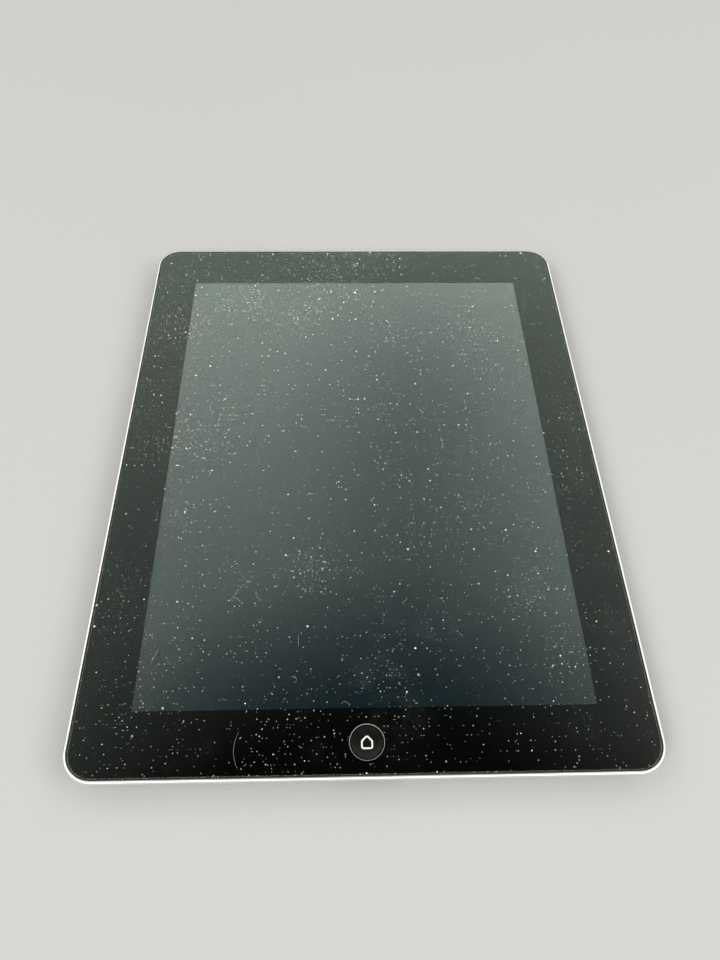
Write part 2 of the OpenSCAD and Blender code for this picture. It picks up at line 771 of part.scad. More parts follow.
module board_connectors() color("#e3e1d8") {
    top = board_z + board_t;
    for (c = [[-9, -52, 10, 3], [6, -52, 12, 3], [-8, 54, 9, 3], [6, 54, 8, 3]])
        translate([board_x + c[0], board_y + c[1], top]) plate(c[2], c[3], 1, 0.3);
}

module board_screws() color("#8d9094") {
    for (x = [-1, 1], y = [-1, 1])
        screw([board_x + x * board_screw_x, board_y + y * board_screw_y, board_z + board_t],
              1.2, 0.5, 0.45, 1.5);
}

module wifi_board() color("#1d3f5c") {
    translate([board_x, -64, 0]) {
        plate(26, 18, board_t, 1, back_wall);
        plate(20, 14, 1.1, 0.6, back_wall + board_t);
    }
}

module antennas() color("#c79a46") {
    top = glass_z - print_t;
    for (a = [[-46, -108], [-42, 108]]) translate([a.x, a.y, 0]) {
        plate(40, 8, 0.2, 1, top - 0.2);
        translate([16, 0, 0]) plate(5, 5, 0.9, 0.5, top - 1.1);
    }
}

module battery_cell(row) color("#2c2f33") {
    x = (cell_x0 + cell_x1) / 2;
    w = cell_x1 - cell_x0;
    translate([x, row * battery_pitch, 0]) {
        plate(w, battery_cell_h - 3, battery_t, 2, battery_z);
        plate(w - 6, battery_cell_h, 0.5, 1, battery_z + 1.2);
    }
}

module battery_cell_top() { battery_cell(1); }
module battery_cell_middle() { battery_cell(0); }
module battery_cell_bottom() { battery_cell(-1); }

module battery_link() color("#1d4a34") {
    span([cell_x1 + 0.2, -88, back_wall], [cell_x1 + 2.8, 88, back_wall + 0.8]);
    for (row = [-1:1])
        translate([cell_x1 + 1.5, row * battery_pitch, back_wall + 0.8]) plate(2.2, 8, 1.2, 0.3);
}

module battery_adhesive() color("#3c3c3c") {
    for (row = [-1:1], x = [-60, -20, 20])
        translate([x, row * battery_pitch, back_wall]) plate(14, 50, 0.15, 1);
}

module cover_magnets() color("#7f8285") {
    for (side = [-1, 1], y = [-60, -10])
        translate([side * (half_w - 4.3), y, 4.3]) plate(2.8, 28, 1.7, 0.3);
}

// ---------------------------------------------------------------- nodes

rear_case();
trim_gasket();
cover_glass();
border_print();
touch_sensor();
glass_adhesive();
digitizer_flex();
lcd_cell();
light_guide();
lcd_tray();
lcd_screws();
display_cable();
home_button();
home_button_seal();
home_button_bracket();
home_switch();
home_flex();
front_camera();
front_camera_bracket();
light_sensor();
rear_camera();
rear_camera_lens();
rear_camera_ring();
headphone_jack();
jack_contacts();
microphone();
speaker_box();
speaker_driver();
speaker_mesh();
dock_shell();
dock_tongue();
dock_contacts();
dock_flex();
power_button();
power_switch();
power_bracket();
volume_rocker();
rocker_pin();
volume_switches();
side_switch();
side_switch_base();
side_bracket();
button_flex();
bracket_screws();
logic_board();
board_chips();
board_shields();
board_connectors();
board_screws();
wifi_board();
antennas();
battery_cell_top();
battery_cell_middle();
battery_cell_bottom();
battery_link();
battery_adhesive();
cover_magnets();
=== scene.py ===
"""Looks of a slate tablet computer that lies on its back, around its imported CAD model."""
import json
import math
import random

import bmesh
import bpy
from mathutils import Matrix, Vector


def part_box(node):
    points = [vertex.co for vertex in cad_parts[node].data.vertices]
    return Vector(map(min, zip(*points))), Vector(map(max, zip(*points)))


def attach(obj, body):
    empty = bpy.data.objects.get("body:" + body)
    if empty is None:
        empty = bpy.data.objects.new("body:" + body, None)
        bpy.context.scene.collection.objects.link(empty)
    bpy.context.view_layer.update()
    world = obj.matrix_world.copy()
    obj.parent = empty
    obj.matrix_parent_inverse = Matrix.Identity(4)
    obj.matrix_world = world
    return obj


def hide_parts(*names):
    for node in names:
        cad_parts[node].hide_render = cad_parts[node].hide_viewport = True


MM = 0.001
BODY = "tablet_body"

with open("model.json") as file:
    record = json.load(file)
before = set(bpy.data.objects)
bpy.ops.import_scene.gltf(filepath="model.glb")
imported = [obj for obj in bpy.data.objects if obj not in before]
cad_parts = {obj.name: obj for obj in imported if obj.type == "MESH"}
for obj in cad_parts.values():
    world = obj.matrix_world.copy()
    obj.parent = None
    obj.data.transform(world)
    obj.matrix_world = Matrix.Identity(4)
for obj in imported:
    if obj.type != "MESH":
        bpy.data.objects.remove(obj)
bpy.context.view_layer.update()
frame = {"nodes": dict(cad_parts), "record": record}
nodes = frame["nodes"]

# Sizes that the CAD model shares, in metres.
HALF_W, HALF_H = 92.85 * MM, 120.6 * MM
CORNER, CORNER_GROW, TAPER = 10 * MM, 2.5 * MM, 15 * MM
SIDE_Z, RIM_TOP, RIM_ROUND = 6.8 * MM, 8.65 * MM, 0.9 * MM
GLASS_CORNER = 8.78 * MM
HOME_HOLE = 5.4 * MM
DISH_DEPTH, DISH_R = 0.4 * MM, 4.85 * MM

# Edges that turn by more than this stay sharp; edges of a key that turn by more are rounded.
SHARP_TURN, KEY_TURN = math.radians(35), math.radians(40)
# A shell face keeps its own normal when the skin's true one is further off than this.
SKIN_TURN = math.radians(14)

# Vertices of a key nearer than this are one, and its faces that turn by less are one face.
WELD, FLAT_TURN = 0.002 * MM, math.radians(1)
# Rounding of the keys' edges and of the slider's.
KEY_EDGE, SLIDER_EDGE = 0.12 * MM, 0.1 * MM

# Rounding of the glass's upper edge, bevel of its lower one, and the width of the ground edge of its hole.
GLASS_EDGE, GLASS_BEVEL = 0.6 * MM, 0.12 * MM
GROUND_EDGE = 0.09 * MM
# Small gap that keeps faces from lying in one another.
HAIR_GAP = 0.01 * MM

# Front camera's lens: radius and rise.
LENS_R, LENS_RISE = 0.8 * MM, 0.12 * MM

# Where dust lies thickest on the glass: x, y and radius in mm, and the extra chance of a speck.
DUST_PATCHES = [(-19, -50, 15, 1.3), (-45, -56, 18, 0.4), (-68, -28, 14, 0.8), (57, -58, 15, 0.55),
                (68, -80, 16, 0.45), (25, -42, 16, 0.35), (-62, 12, 20, 0.5), (-52, 84, 20, 0.7),
                (-22, 76, 14, 0.6), (15, 66, 16, 0.55), (-74, 70, 9, 0.7), (50, 60, 20, 0.45),
                (-70, -102, 24, 0.15), (-28, -108, 18, 0.2), (6, -86, 13, 0.25), (-8, 108, 50, 0.45),
                (-86, -60, 20, 0.45), (-86, 10, 26, 0.45), (-86, 70, 30, 0.5)]

# Chance of a speck where the glass is clean, lowest and highest.
DUST_LEVELS = (0.13, 0.3)

# Layers of specks in mm: pitch of the cells, smallest and largest radius, and share of the chance.
DUST_LAYERS = ((1.0, 0.1, 0.17, 0.55), (2.7, 0.14, 0.27, 0.8), (9.0, 0.2, 0.4, 0.8))

# Specks grow from near to far: from y, to y, and their scale at either end.
DUST_GROWTH = (-80 * MM, 110 * MM, 1.0, 1.6)

# How faint the faintest speck is, and how common faint ones are.
DUST_FAINTEST, DUST_FAINT_POWER = 0.28, 2.0

# Noise that makes the specks ragged: scale and reach.
RAGGED_SCALE, RAGGED_REACH = 4500.0, 0.16 * MM

# Share of light that the thickest smudge scatters.
SMUDGE_SHARE = 0.006

# Hairs on the glass: x, y, heading and turn in degrees, and length in mm.
HAIRS = [(-39.6, -106, 245, 60, 11.5), (-46, -62, 50, 14, 5), (-70, -84, 64, 10, 5.5),
         (-22, -79, 88, 6, 4.5), (-24, -89, 30, -220, 4), (-8, -98, 60, -170, 4), (-44, 71, 10, 60, 6)]
HAIR_RADIUS = 0.018 * MM

# Short lint: how many, seed, shares of the glass across and along that it lies in, turn in radians, and
# length in mm.
LINT_COUNT, LINT_SEED = 36, 11
LINT_ACROSS, LINT_ALONG, LINT_TURN, LINT_LENGTH = (-0.93, 0.93), (-0.86, 0.95), (-3, 3), (0.5, 2.4)

# Outline of the home mark in mm, and its line.
MARK_CORNERS = [(-1.6, -1.75), (1.6, -1.75), (1.6, 0.4), (0, 2.0), (-1.6, 0.4)]
MARK_ROUND, MARK_LINE = 0.55, 0.5

# Brightness of the room by the height of the direction, 0 at the horizon and 1 overhead: ahead of the
# camera a bright wall under a dark ceiling, and a softer one behind it. The two meet between two
# directions along.
ROOM_AHEAD = [(0.0, 0.45), (0.42, 0.55), (0.56, 1.85), (0.64, 2.0), (0.66, 1.86), (0.75, 1.53), (0.80, 1.27),
              (0.85, 1.02), (0.89, 0.81), (0.91, 0.54), (0.93, 0.31), (0.95, 0.11), (0.965, 0.01), (1.0, 0.0)]
ROOM_BEHIND = [(0.0, 0.5), (0.3, 0.6), (0.5, 1.9), (0.75, 1.7), (0.88, 0.6), (1.0, 0.2)]
ROOM_MOST, AHEAD_FROM = 2.5, (-0.1, 0.15)

# Brightness of the plain backdrop, half the side of the floor, and how far it lies under the tablet.
BACKDROP = 0.56
FLOOR_REACH, FLOOR_DROP = 40.0, 0.02 * MM

# Colour of the wall ahead and of the walls to the sides, which comes in between these two heights. The
# sides start between these two distances across.
WALL_FROM, SIDES_FROM = (0.42, 0.5), (0.31, 0.45)
AHEAD_TINT, SIDES_TINT = (0.83, 1.0, 0.87), (1.4, 1.38, 1.26)

# How far the room's levels lean to one side. Darker gap in the wall ahead: its middle and half width
# across, how much light it takes, and the heights between which it comes in.
LEAN = 0.024
GAP_MIDDLE, GAP_HALF, GAP_DEPTH, GAP_FROM = 0.1, 0.22, 0.36, (0.6, 0.8)

# Lamps: name, place, side in metres, watts and colour.
LAMPS = [("key_light", (-1.0, -1.1, 1.3), 0.9, 15, (1.0, 0.98, 0.95)),
         ("side_light", (1.3, -0.5, 0.9), 0.8, 8, (1, 1, 1))]

# Where the camera stands, the way it looks, and the way its picture's rows run.
CAMERA_AT = (-0.0070, -0.1669, 0.2407)
CAMERA_AHEAD, CAMERA_RIGHT = (0.0245, 0.5533, -0.8326), (0.9997, -0.0206, 0.0156)
CAMERA_LENS = 27.38


# ---------------------------------------------------------------- node helpers

def start_material(name):
    """A new node material and its empty node tree."""
    mat = bpy.data.materials.new(name)
    mat.use_nodes = True
    mat.node_tree.nodes.clear()
    return mat, mat.node_tree


def add(tree, kind, settings=None, **inputs):
    """Adds a node. An input that is a socket is linked, any other is set."""
    made = tree.nodes.new(kind)
    for key, value in (settings or {}).items():
        setattr(made, key, value)
    for key, value in inputs.items():
        numbered = key[0] == "i" and key[1:].isdigit()
        socket = made.inputs[int(key[1:]) if numbered else key.replace("_", " ")]
        if isinstance(value, bpy.types.NodeSocket):
            tree.links.new(value, socket)
        else:
            socket.default_value = value
    return made


def math_node(tree, operation, a, b=0.0):
    return add(tree, "ShaderNodeMath", {"operation": operation}, i0=a, i1=b).outputs[0]


def step(tree, value, low, high, to_low=0.0, to_high=1.0):
    """Smooth ramp of a value between two limits."""
    return add(tree, "ShaderNodeMapRange", {"interpolation_type": "SMOOTHSTEP"}, Value=value,
               From_Min=low, From_Max=high, To_Min=to_low, To_Max=to_high).outputs["Result"]


def place(tree):
    """Position on the object, in metres."""
    return add(tree, "ShaderNodeTexCoord").outputs["Object"]


def noise(tree, where, scale, detail=3.0, roughness=0.5):
    return add(tree, "ShaderNodeTexNoise", None, Vector=where, Scale=scale, Detail=detail,
               Roughness=roughness).outputs["Fac"]


def tint(tree, factor, dark, light):
    """Colour between two colours."""
    ramp = add(tree, "ShaderNodeMix", {"data_type": "RGBA"}, Factor=factor)
    ramp.inputs[6].default_value = (*dark, 1)
    ramp.inputs[7].default_value = (*light, 1)
    return ramp.outputs[2]


def bump(tree, height, strength, distance):
    return add(tree, "ShaderNodeBump", None, Height=height, Strength=strength, Distance=distance).outputs[0]


def finish_material(tree, shader):
    """Shows a shader on the surface."""
    add(tree, "ShaderNodeOutputMaterial", None, Surface=shader)


def grainy(name, dark, light, rough, metallic=0.0, grain=3000.0, bump_mm=0.01, patches=120.0, **more):
    """Solid colour with fine grain, slow colour change and uneven roughness."""
    mat, tree = start_material(name)
    where = place(tree)
    slow = noise(tree, where, patches, 2.0)
    fine = noise(tree, where, grain, 2.0)
    mixed = math_node(tree, "ADD", math_node(tree, "MULTIPLY", slow, 0.6),
                      math_node(tree, "MULTIPLY", fine, 0.4))
    shader = add(tree, "ShaderNodeBsdfPrincipled", None, Base_Color=tint(tree, mixed, dark, light),
                 Roughness=step(tree, mixed, 0.3, 0.7, rough[0], rough[1]), Metallic=metallic,
                 Normal=bump(tree, fine, 0.4, bump_mm * MM), **more)
    finish_material(tree, shader.outputs[0])
    return mat


# ---------------------------------------------------------------- materials

def anodised(name, base, rough):
    """Bead-blasted, anodised aluminium."""
    mat, tree = start_material(name)
    where = place(tree)
    grain = noise(tree, where, 9000.0, 2.0)
    cloud = noise(tree, where, 60.0, 3.0)
    value = add(tree, "ShaderNodeMix", None, i0=0.5, i2=grain, i3=cloud).outputs[0]
    colour = tint(tree, value, tuple(c * 0.93 for c in base), tuple(min(1.0, c * 1.05) for c in base))
    shader = add(tree, "ShaderNodeBsdfPrincipled", None, Base_Color=colour, Metallic=1.0,
                 Roughness=step(tree, value, 0.3, 0.7, rough - 0.05, rough + 0.05),
                 Normal=bump(tree, grain, 0.25, 0.006 * MM))
    finish_material(tree, shader.outputs[0])
    return mat


def specks(tree, flat, cell, smallest, largest, growth, density):
    """Mask of specks, about one to each cell, kept where a cell's chance is under the density."""
    cells = add(tree, "ShaderNodeTexVoronoi", {"voronoi_dimensions": "2D", "feature": "F1"},
                Vector=flat, Scale=1.0 / cell)
    chance = add(tree, "ShaderNodeSeparateColor", None, Color=cells.outputs["Color"])
    size = math_node(tree, "POWER", chance.outputs[0], 3.0)
    radius = step(tree, size, 0.0, 1.0, smallest / cell, largest / cell)
    edge = math_node(tree, "DIVIDE", cells.outputs["Distance"], math_node(tree, "MULTIPLY", radius, growth))
    dot = step(tree, edge, 0.6, 1.0, 1.0, 0.0)
    kept = math_node(tree, "LESS_THAN", chance.outputs[1], density)
    faint = math_node(tree, "POWER", chance.outputs[2], DUST_FAINT_POWER)
    strength = step(tree, faint, 0.0, 1.0, DUST_FAINTEST, 1.0)
    return math_node(tree, "MULTIPLY", math_node(tree, "MULTIPLY", dot, strength), kept)


def patch(tree, where, centre, radius, amount):
    """Soft round patch on the glass."""
    away = add(tree, "ShaderNodeVectorMath", {"operation": "DISTANCE"}, i0=where, i1=centre).outputs["Value"]
    return step(tree, away, 0.0, radius, amount, 0.0)


def dust_density(tree, where, slow):
    """Chance of a speck: a low level everywhere, more in a few patches."""
    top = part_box("cover_glass")[1].z
    total = step(tree, slow, 0.35, 0.75, *DUST_LEVELS)
    for x, y, radius, amount in DUST_PATCHES:
        total = math_node(tree, "ADD", total, patch(tree, where, (x * MM, y * MM, top), radius * MM, amount))
    return total


def ragged(tree, where):
    """Place on the glass, moved about a little so that specks aren't round."""
    shift = add(tree, "ShaderNodeTexNoise", None, Vector=where, Scale=RAGGED_SCALE,
                Detail=1.0).outputs["Color"]
    small = add(tree, "ShaderNodeVectorMath", {"operation": "SCALE"}, Vector=shift, Scale=RAGGED_REACH)
    return add(tree, "ShaderNodeVectorMath", {"operation": "ADD"}, i0=where, i1=small.outputs[0]).outputs[0]


def dusty_glass(name):
    """Clear cover glass that mirrors from its front faces only, with smudges and dust on it."""
    mat, tree = start_material(name)
    where = place(tree)
    slow = noise(tree, where, 38.0, 3.0)
    streaks = noise(tree, where, 160.0, 5.0, 0.65)
    front = math_node(tree, "SUBTRACT", 1.0, add(tree, "ShaderNodeNewGeometry").outputs["Backfacing"])
    mirror = math_node(tree, "MULTIPLY", add(tree, "ShaderNodeFresnel", None, IOR=1.5).outputs[0], front)
    grease = math_node(tree, "MULTIPLY", step(tree, slow, 0.5, 0.72), step(tree, streaks, 0.35, 0.7))
    clear = add(tree, "ShaderNodeBsdfTransparent", None, Color=(0.965, 0.965, 0.965, 1))
    gloss = add(tree, "ShaderNodeBsdfGlossy", None, Color=(1, 1, 1, 1),
                Roughness=step(tree, grease, 0.0, 1.0, 0.03, 0.12))
    pane = add(tree, "ShaderNodeMixShader", None, i0=mirror, i1=clear.outputs[0], i2=gloss.outputs[0])
    film = add(tree, "ShaderNodeBsdfDiffuse", None, Color=(0.6, 0.63, 0.62, 1))
    hazy = add(tree, "ShaderNodeMixShader", None, i0=math_node(tree, "MULTIPLY", grease, SMUDGE_SHARE),
               i1=pane.outputs[0], i2=film.outputs[0])
    density, spot = dust_density(tree, where, slow), ragged(tree, where)
    along = add(tree, "ShaderNodeSeparateXYZ", None, Vector=where).outputs["Y"]
    growth = step(tree, along, *DUST_GROWTH)
    dust = 0.0
    for cell, smallest, largest, share in DUST_LAYERS:
        layer = specks(tree, spot, cell * MM, smallest * MM, largest * MM, growth,
                       math_node(tree, "MULTIPLY", density, share))
        dust = math_node(tree, "MAXIMUM", dust, layer)
    speck = add(tree, "ShaderNodeBsdfDiffuse", None, Color=(0.8, 0.82, 0.79, 1))
    shown = add(tree, "ShaderNodeMixShader", None,
                i0=math_node(tree, "MULTIPLY", dust, front),
                i1=hazy.outputs[0], i2=speck.outputs[0])
    finish_material(tree, shown.outputs[0])
    return mat


def see_through(name):
    """Touch sensor: a clear film that hardly shows."""
    mat, tree = start_material(name)
    shade = noise(tree, place(tree), 200.0)
    clear = add(tree, "ShaderNodeBsdfTransparent", None,
                Color=tint(tree, shade, (0.97, 0.965, 0.965), (0.98, 0.975, 0.975)))
    gloss = add(tree, "ShaderNodeBsdfGlossy", None, Roughness=0.1)
    film = add(tree, "ShaderNodeMixShader", None, i0=0.002, i1=clear.outputs[0], i2=gloss.outputs[0])
    finish_material(tree, film.outputs[0])
    return mat


def stripes(name, ground, line, axis, pitch, share):
    """Flat cable with parallel tracks."""
    mat, tree = start_material(name)
    where = place(tree)
    along = add(tree, "ShaderNodeSeparateXYZ", None, Vector=where).outputs[axis]
    phase = math_node(tree, "FRACT", math_node(tree, "DIVIDE", along, pitch))
    track = math_node(tree, "LESS_THAN", phase, share)
    grain = noise(tree, where, 1500.0)
    shader = add(tree, "ShaderNodeBsdfPrincipled", None, Base_Color=tint(tree, track, ground, line),
                 Roughness=step(tree, grain, 0.3, 0.7, 0.32, 0.48), Normal=bump(tree, track, 0.3, 0.02 * MM))
    finish_material(tree, shader.outputs[0])
    return mat


def board(name, mask, copper):
    """Printed board: solder mask with tracks and pads."""
    mat, tree = start_material(name)
    where = place(tree)
    cells = add(tree, "ShaderNodeTexVoronoi", {"feature": "DISTANCE_TO_EDGE"}, Vector=where, Scale=350.0)
    tracks = step(tree, cells.outputs["Distance"], 0.02, 0.05, 1.0, 0.0)
    shader = add(tree, "ShaderNodeBsdfPrincipled", None, Base_Color=tint(tree, tracks, mask, copper),
                 Roughness=0.35, Normal=bump(tree, tracks, 0.4, 0.03 * MM))
    finish_material(tree, shader.outputs[0])
    return mat


def woven(name, dark, light, pitch):
    """Fine metal mesh."""
    mat, tree = start_material(name)
    where = place(tree)
    xyz = add(tree, "ShaderNodeSeparateXYZ", None, Vector=where)
    weave = [math_node(tree, "SINE", math_node(tree, "MULTIPLY", xyz.outputs[i], math.tau / pitch))
             for i in (0, 1)]
    thread = math_node(tree, "MAXIMUM", *weave)
    colour = tint(tree, step(tree, thread, 0.2, 0.9), dark, light)
    shader = add(tree, "ShaderNodeBsdfPrincipled", None, Base_Color=colour, Metallic=1.0, Roughness=0.45,
                 Normal=bump(tree, thread, 0.6, 0.03 * MM))
    finish_material(tree, shader.outputs[0])
    return mat


MATERIALS = {
    "case_metal": anodised("anodised_shell", (0.86, 0.865, 0.87), 0.34),
    "key_metal": anodised("anodised_keys", (0.78, 0.79, 0.80), 0.34),
    "slider_metal": anodised("anodised_slider", (0.84, 0.85, 0.86), 0.34),
    "ring_metal": anodised("dark_ring", (0.3, 0.31, 0.32), 0.3),
    "cover_glass": dusty_glass("dusty_glass"),
    "touch_layer": see_through("touch_film"),
    "black_print": grainy("black_ink", (0.0008, 0.001, 0.0008), (0.002, 0.0022, 0.002), (0.5, 0.6),
                          bump_mm=0.0, Specular_IOR_Level=0.0),
    "display_cell": grainy("display_off", (0.003, 0.009, 0.013), (0.0045, 0.0115, 0.0165), (0.06, 0.1),
                           bump_mm=0.0, IOR=1.91),
    "trim_black": grainy("trim_plastic", (0.016, 0.016, 0.017), (0.03, 0.03, 0.032), (0.3, 0.4)),
    "button_black": grainy("button_gloss", (0.004, 0.004, 0.004), (0.007, 0.007, 0.007), (0.1, 0.18),
                           bump_mm=0.001, Specular_IOR_Level=0.3),
    "lens_glass": grainy("lens_glass", (0.004, 0.006, 0.012), (0.008, 0.01, 0.02), (0.03, 0.06), bump_mm=0.0,
                         Coat_Weight=1.0),
    "seal_black": grainy("seal_foam", (0.015, 0.015, 0.015), (0.04, 0.04, 0.04), (0.75, 0.9), grain=1500,
                         bump_mm=0.05),
    "adhesive_grey": grainy("foam_tape", (0.02, 0.02, 0.02), (0.05, 0.05, 0.05), (0.7, 0.85), bump_mm=0.03),
    "socket_plastic": grainy("moulded_plastic", (0.02, 0.02, 0.022), (0.04, 0.04, 0.043), (0.4, 0.55)),
    "camera_black": grainy("camera_plastic", (0.012, 0.012, 0.014), (0.03, 0.03, 0.033), (0.35, 0.5)),
    "chip_black": grainy("chip_plastic", (0.02, 0.02, 0.021), (0.05, 0.05, 0.052), (0.5, 0.65), grain=2500,
                         bump_mm=0.02),
    "connector_white": grainy("white_plastic", (0.62, 0.6, 0.55), (0.8, 0.78, 0.72), (0.4, 0.55)),
    "light_guide": grainy("diffuser_film", (0.7, 0.74, 0.76), (0.85, 0.88, 0.9), (0.5, 0.6)),
    "tray_metal": grainy("pressed_aluminium", (0.5, 0.51, 0.52), (0.66, 0.67, 0.68), (0.35, 0.5), 1.0),
    "bracket_steel": grainy("pressed_steel", (0.46, 0.46, 0.47), (0.62, 0.62, 0.63), (0.3, 0.45), 1.0),
    "shield_metal": grainy("tinned_sheet", (0.6, 0.61, 0.61), (0.76, 0.77, 0.77), (0.25, 0.4), 1.0),
    "socket_steel": grainy("plated_steel", (0.5, 0.5, 0.51), (0.66, 0.66, 0.67), (0.25, 0.38), 1.0),
    "screw_steel": grainy("screw_steel", (0.35, 0.35, 0.36), (0.5, 0.5, 0.51), (0.25, 0.4), 1.0),
    "switch_gold": grainy("dome_plating", (0.75, 0.55, 0.22), (0.9, 0.7, 0.34), (0.2, 0.32), 1.0),
    "contact_gold": grainy("contact_plating", (0.8, 0.56, 0.2), (0.92, 0.7, 0.32), (0.15, 0.28), 1.0),
    "antenna_copper": grainy("antenna_copper", (0.66, 0.35, 0.18), (0.8, 0.45, 0.25), (0.25, 0.4), 1.0),
    "magnet_nickel": grainy("nickel_plating", (0.55, 0.54, 0.5), (0.7, 0.69, 0.65), (0.15, 0.3), 1.0),
    "battery_foil": grainy("pouch_film", (0.02, 0.021, 0.023), (0.045, 0.046, 0.05), (0.3, 0.45), grain=500,
                           bump_mm=0.06),
    "mesh_metal": woven("speaker_mesh", (0.01, 0.01, 0.01), (0.2, 0.2, 0.21), 0.25 * MM),
    "copper_flex": stripes("flat_cable", (0.28, 0.13, 0.03), (0.5, 0.26, 0.08), "X", 0.6 * MM, 0.5),
    "board_green": board("green_board", (0.012, 0.07, 0.035), (0.10, 0.22, 0.10)),
    "board_blue": board("blue_board", (0.01, 0.03, 0.08), (0.08, 0.14, 0.22)),
}
for entry in frame["record"]["subparts"]:
    nodes[entry["node"]].material_slots[0].material = MATERIALS[entry["material_slot"]]


# ---------------------------------------------------------------- piece helpers

def new_piece(name, mesh, material, body, replaced=()):
    """Puts a mesh into the scene as a piece that moves with a body."""
    piece = bpy.data.objects.new(name, mesh)
    bpy.context.scene.collection.objects.link(piece)
    mesh.materials.clear()
    mesh.materials.append(material)
    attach(piece, body)
    if replaced:
        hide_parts(*replaced)
    return piece


def mesh_of(name, builder):
    """The mesh that a bmesh builds, with outward normals and smooth shading between soft edges."""
    mesh = bpy.data.meshes.new(name)
    bmesh.ops.recalc_face_normals(builder, faces=builder.faces[:])
    builder.to_mesh(mesh)
    builder.free()
    mesh.shade_smooth()
    mesh.set_sharp_from_angle(angle=SHARP_TURN)
    return mesh


def even_shading(piece):
    """Keeps large flat faces flat to the eye, next to narrow rounded edges."""
    piece.modifiers.new("even_shading", "WEIGHTED_NORMAL").keep_sharp = True


def rounded_outline(half_w, half_h, radius, steps=16):
    """Points round a rectangle with round corners."""
    points = []
    for corner in range(4):
        cx = (half_w - radius) * (1 if corner in (0, 3) else -1)
        cy = (half_h - radius) * (1 if corner < 2 else -1)
        for i in range(steps + 1):
            a = math.radians(90 * corner + 90 * i / steps)
            points.append((cx + radius * math.cos(a), cy + radius * math.sin(a)))
    return points


def circle(centre, radius, steps=72):
    """Points round a circle."""
    turns = [math.tau * i / steps for i in range(steps)]
    return [(centre.x + radius * math.cos(a), centre.y + radius * math.sin(a)) for a in turns]


def middle(node):
    """Middle of a node's box."""
    low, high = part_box(node)
    return (low + high) / 2


def loop_at(builder, points, z):
    """Vertices at points, at one height."""
    return [builder.verts.new((x, y, z)) for x, y in points]


def skin_between(builder, first, second):
    """Faces between two loops of the same length."""
    count = len(first)
    for i in range(count):
        builder.faces.new((first[i], first[(i + 1) % count], second[(i + 1) % count], second[i]))


def fill_flat(builder, *loops):
    """Flat face between an outer loop and the loops of its holes."""
    edges = []
    for loop in loops:
        for i, vert in enumerate(loop):
            pair = (vert, loop[(i + 1) % len(loop)])
            edges.append(builder.edges.get(pair) or builder.edges.new(pair))
    bmesh.ops.triangle_fill(builder, use_beauty=True, edges=edges)


# ---------------------------------------------------------------- cover glass

def make_glass():
    """Cover glass with rounded edges and the round hole for the button."""
    low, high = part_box("cover_glass")
    home = middle("home_button")
    builder = bmesh.new()
    rounding = [(GLASS_EDGE * (1 - math.cos(a)), high.z - GLASS_EDGE * (1 - math.sin(a)))
                for a in (math.radians(18 * i) for i in range(6))]
    foot = low.z + HAIR_GAP
    profile = [(GLASS_BEVEL, foot), (0, foot + GLASS_BEVEL)] + rounding
    outer = [loop_at(builder, rounded_outline(high.x - inset, high.y - inset, GLASS_CORNER - inset), z)
             for inset, z in profile]
    hole = [loop_at(builder, circle(home, radius), z)
            for radius, z in ((HOME_HOLE, foot), (HOME_HOLE, high.z - GROUND_EDGE),
                              (HOME_HOLE + GROUND_EDGE, high.z))]
    for rings in (outer, hole):
        for first, second in zip(rings, rings[1:]):
            skin_between(builder, first, second)
    fill_flat(builder, outer[0], hole[0])
    fill_flat(builder, outer[-1], hole[-1])
    even_shading(new_piece("glass_panel", mesh_of("glass_panel", builder), MATERIALS["cover_glass"], BODY,
                           ["cover_glass"]))


def make_ground_edge_and_highlight():
    """Frosted edge that is ground round the glass's hole; its pale colour also stands in for the light that
    glints on the hole's bevel, a painted highlight.
    """
    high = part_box("cover_glass")[1]
    home = middle("home_button")
    inner, outer = HOME_HOLE - HAIR_GAP, HOME_HOLE + GROUND_EDGE
    builder = bmesh.new()
    rings = [loop_at(builder, circle(home, radius), z)
             for radius, z in ((inner, high.z - GROUND_EDGE - HAIR_GAP),
                               (inner, high.z - GROUND_EDGE + HAIR_GAP),
                               (outer - HAIR_GAP, high.z + HAIR_GAP), (outer, high.z - HAIR_GAP))]
    for first, second in zip(rings, rings[1:] + rings[:1]):
        skin_between(builder, first, second)
    # Pale grey ring: partly the frosted ground glass, partly a painted highlight where light glints on the
    # bevel.
    frosted_and_highlight = grainy("ground_glass_and_highlight", (0.28, 0.3, 0.29), (0.56, 0.58, 0.57), (0.25, 0.5), patches=500.0,
                     bump_mm=0.002)
    new_piece("hole_edge", mesh_of("hole_edge", builder), frosted_and_highlight, BODY)


make_glass()
make_ground_edge_and_highlight()


# ---------------------------------------------------------------- back shell

def skin_normal(p):
    """The true normal of the shell's outer surface at a point on it."""
    if p.z < SIDE_Z:
        t = math.asin(min(1.0, max(0.0, 1 - p.z / SIDE_Z)))
        inset, across, down = TAPER * (1 - math.cos(t)), SIDE_Z * math.cos(t), -TAPER * math.sin(t)
    else:
        t = math.asin(min(1.0, max(0.0, 1 - (RIM_TOP - p.z) / RIM_ROUND)))
        inset, across, down = RIM_ROUND * (1 - math.cos(t)), math.cos(t), math.sin(t)
    radius = CORNER + CORNER_GROW * inset / TAPER if p.z < SIDE_Z else CORNER - inset
    dx, dy = abs(p.x) - (HALF_W - inset - radius), abs(p.y) - (HALF_H - inset - radius)
    if dx > 0 and dy > 0:
        flat = Vector((dx, dy)).normalized()
        if p.z < SIDE_Z:
            grow = CORNER_GROW / TAPER
            down *= (1 + grow) * (flat.x + flat.y) - grow
    else:
        flat = Vector((1, 0)) if dx > dy else Vector((0, 1))
    return Vector((math.copysign(flat.x, p.x) * across, math.copysign(flat.y, p.y) * across,
                   down)).normalized()


